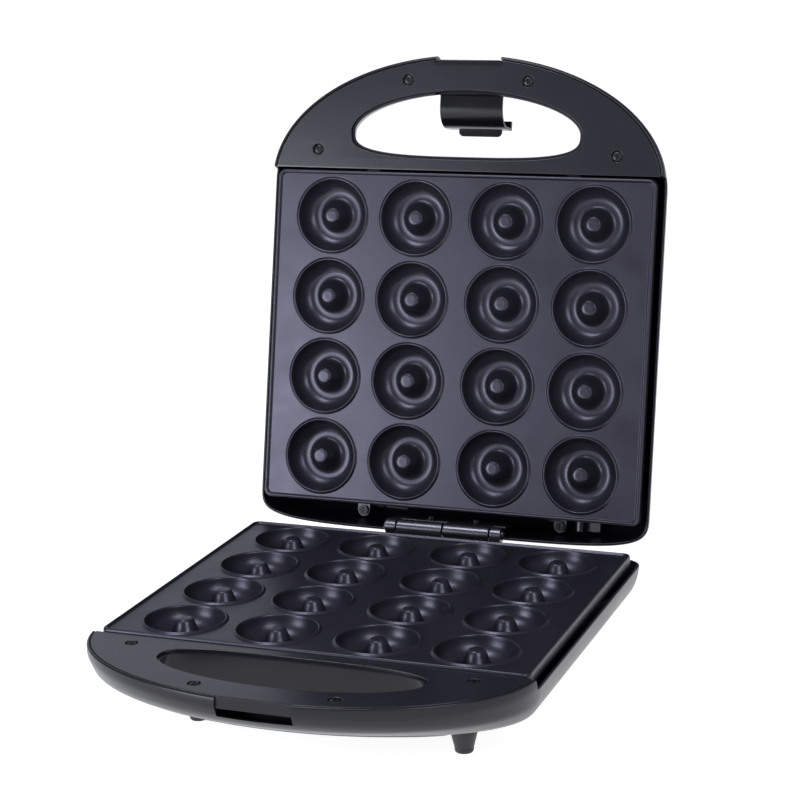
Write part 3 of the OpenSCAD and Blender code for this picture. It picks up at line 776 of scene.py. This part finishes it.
def hinge_pin():
    section = [(1e-3, -39.4), (2.4, -39.4), (2.9, -38.9), (2.9, -38.4), (2.0, -38.3), (2.0, 38.3),
               (2.9, 38.4), (2.9, 38.9), (2.4, 39.4), (1e-3, 39.4)]
    piece = lathe("hinge_rod", section, (0, HINGE_Y, 0), "X", 40)
    finish_piece(piece, BASE, DARK_STEEL, "hinge_steel", "hinge_pin")


# ---- latch --------------------------------------------------------------------------

def latch():
    reach, bend, half_t, hook, half_w = 9.0, 12.0, 1.0, 21.0, 20.5
    outer, inner = bend + half_t, bend - half_t
    turn = np.radians(np.linspace(0, 90, 24))
    side = [(0.0, half_t)]
    side += [(reach + outer * math.sin(t), -bend + outer * math.cos(t)) for t in turn]
    side += [(reach + bend + half_t, -hook - half_t), (reach + bend - 5, -hook - half_t),
             (reach + bend - 5, -hook + half_t), (reach + bend - half_t, -hook + half_t)]
    side += [(reach + inner * math.sin(t), -bend + inner * math.cos(t)) for t in turn[::-1]]
    side += [(0.0, -half_t)]
    side = [(y + LATCH_PIN_Y, z - LATCH_PIN_H) for y, z in side]
    strap = bevel(along_x("strap", side, -half_w, half_w), 0.45, 3, 50)
    tab_x, tab_y, tab_z, tab_r = 14.2, LATCH_PIN_Y + reach + bend, -LATCH_PIN_H - hook, 3.0
    round_end = [(tab_x - tab_r + tab_r * math.sin(t), tab_y + 2 + tab_r * math.cos(t)) for t in turn]
    outline = [(-tab_x, tab_y)] + [(-x, y) for x, y in round_end[::-1]] + round_end + [(tab_x, tab_y)]
    tab = bevel(prism("tab", outline, tab_z - half_t, tab_z + half_t), 0.45, 3, 50)
    section = rounded_section(2.9, -half_w, half_w, 0.4)
    barrel = lathe("pivot", section, (0, LATCH_PIN_Y, -LATCH_PIN_H), "X", 40)
    piece = join("latch_clip", [strap, tab, barrel])
    finish_piece(piece, LATCH, LATCH_GLOSS, "latch_plastic", "latch", angle=40)


# ---- feet, lenses -------------------------------------------------------------------

def feet():
    low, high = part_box("base_feet")
    bottom = (low.z - SEAM_Z) / MM
    top_r = 7.5
    x = high.x / MM - top_r
    front, rear = (low.y - MID_Y) / MM + top_r, (high.y - MID_Y) / MM - top_r
    section = [(1e-3, bottom + 8), (3.4, bottom + 8), (3.4, bottom + 0.5), (3.7, bottom), (4.7, bottom),
               (5.1, bottom + 0.5), (5.35, bottom + 2.2), (5.15, bottom + 2.6), (5.4, bottom + 3.0),
               (7.3, bottom + 10.6), (top_r, bottom + 11.4), (top_r, -39.4), (1e-3, -39.4)]
    parts = [lathe("foot", section, (sx * x, y, 0)) for sx in (-1, 1) for y in (front, rear)]
    finish_piece(join("feet_set", parts), BASE, RUBBER, "foot_plastic", "base_feet")


def lens(node, paint, slot):
    low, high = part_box(node)
    x = (low.x + high.x) / 2 / MM
    floor = DECK - DEPTH
    section = [(1e-3, floor + 5.2), (4.0, floor + 5.2), (4.0, floor + 0.1), (4.7, floor), (4.7, floor - 0.3),
               (4.4, floor - 0.8), (3.4, floor - 1.1), (1.8, floor - 1.25), (1e-3, floor - 1.3)]
    piece = lathe(node + "_dome", section, (x, LENS_Y, 0), steps=48)
    finish_piece(piece, LID, paint, slot, node)


# ---- CAD nodes that keep their shape ------------------------------------------------

# Stems of the nodes that both halves have, then the nodes that are there once.
KEPT = {
    ZINC_WITH_PAINTED_SHADE: ["plate_straps", "element_clamps"],
    SCREW: ["strap_screws", "hinge_screws"],
    TUBE: ["element"],
    SHEET: ["heat_shield"],
    CERAMIC: ["thermostat"],
    SLEEVE: ["wires"],
}
KEPT_SINGLE = {
    CERAMIC: ["thermal_fuse", "terminal_block"],
    RUBBER: ["cord_gland"],
    ZINC_WITH_PAINTED_SHADE: ["wire_clamp", "base_foot_screws"],
    DARK_STEEL: ["latch_pin"],
    GLASS: ["indicator_lamps"],
}


def dress_kept_nodes():
    names = [(paint, half.body + "_" + stem) for paint, stems in KEPT.items() for stem in stems
             for half in (BASE, LID)]
    names += [(paint, node) for paint, nodes in KEPT_SINGLE.items() for node in nodes]
    for paint, node in names:
        obj = frame["nodes"][node]
        obj.data.materials.clear()
        obj.data.materials.append(paint)


# ---- studio -------------------------------------------------------------------------

def studio():
    far = 60.0
    corners = [(-far, -far, 0), (far, -far, 0), (far, far, 0), (-far, far, 0)]
    floor = new_object("floor", corners, [(0, 1, 2, 3)])
    paint = bpy.data.materials.new("floor_white")
    paint.use_nodes = True
    shader = paint.node_tree.nodes["Principled BSDF"]
    shader.inputs["Base Color"].default_value = (0.5, 0.5, 0.5, 1)
    shader.inputs["Roughness"].default_value = 0.9
    shader.inputs["Specular IOR Level"].default_value = 0.0
    shader.inputs["Emission Color"].default_value = (1, 1, 1, 1)
    shader.inputs["Emission Strength"].default_value = 0.9
    floor.data.materials.append(paint)
    world = bpy.data.worlds.new("studio")
    world.use_nodes = True
    world.node_tree.nodes["Background"].inputs["Color"].default_value = (0.26, 0.26, 0.31, 1)
    world.node_tree.nodes["Background"].inputs["Strength"].default_value = 1.0
    bpy.context.scene.world = world
    bpy.context.scene.view_settings.view_transform = "Standard"

    def softbox(name, place, aim, width, height, power):
        light = bpy.data.lights.new(name, "AREA")
        light.shape = "RECTANGLE"
        light.size = width
        light.size_y = height
        light.color = (0.88, 0.91, 1.0)
        light.energy = power
        obj = bpy.data.objects.new(name, light)
        obj.location = place
        obj.rotation_euler = (Vector(aim) - Vector(place)).to_track_quat("-Z", "Y").to_euler()
        bpy.context.scene.collection.objects.link(obj)

    # Light positions and sizes in metres, powers in watts.
    softbox("key", (-0.86, -1.12, 0.27), (0, 0, 0.2), 0.55, 0.6, 13)
    softbox("top", (-0.3, -0.5, 1.3), (0, 0, 0.1), 0.5, 0.5, 10)
    softbox("side", (0.9, -1.0, 0.9), (0, 0, 0.1), 0.6, 0.6, 9)
    softbox("rear", (-1.1, 1.2, 0.5), (-0.1, 0, 0.05), 1.4, 1.0, 1.5)


def camera():
    """The photograph's view: a long lens, a little to the right and above.

    The angles, distance and aim come from a fit to where the photo shows the wells' pegs.
    """
    azimuth, elevation, roll = (math.radians(a) for a in (20.58, 13.91, -1.37))
    distance, aim = 1.22403, Vector((0.01678, MID_Y, SEAM_Z + DECK * MM + 0.11449))
    back = Vector((math.sin(azimuth) * math.cos(elevation), -math.cos(azimuth) * math.cos(elevation),
                   math.sin(elevation)))
    right = Vector((math.cos(azimuth), math.sin(azimuth), 0))
    up = back.cross(right)
    across = right * math.cos(roll) + up * math.sin(roll)
    above = up * math.cos(roll) - right * math.sin(roll)
    data = bpy.data.cameras.new("view")
    data.sensor_width = 36
    data.lens = 98.27
    obj = bpy.data.objects.new("view", data)
    turn = Matrix((across, above, back)).transposed().to_4x4()
    obj.matrix_world = Matrix.Translation(aim + back * distance) @ turn
    bpy.context.scene.collection.objects.link(obj)
    bpy.context.scene.camera = obj


camera()
studio()
for part in (BASE, LID):
    housing(part)
    handle_cover(part)
    cover_screws(part)
    cooking_plate(part)
    hinge_leaf(part)
hinge_pin()
latch()
feet()
lens("power_lens", RED, "red_lens")
lens("ready_lens", GREEN, "green_lens")
dress_kept_nodes()
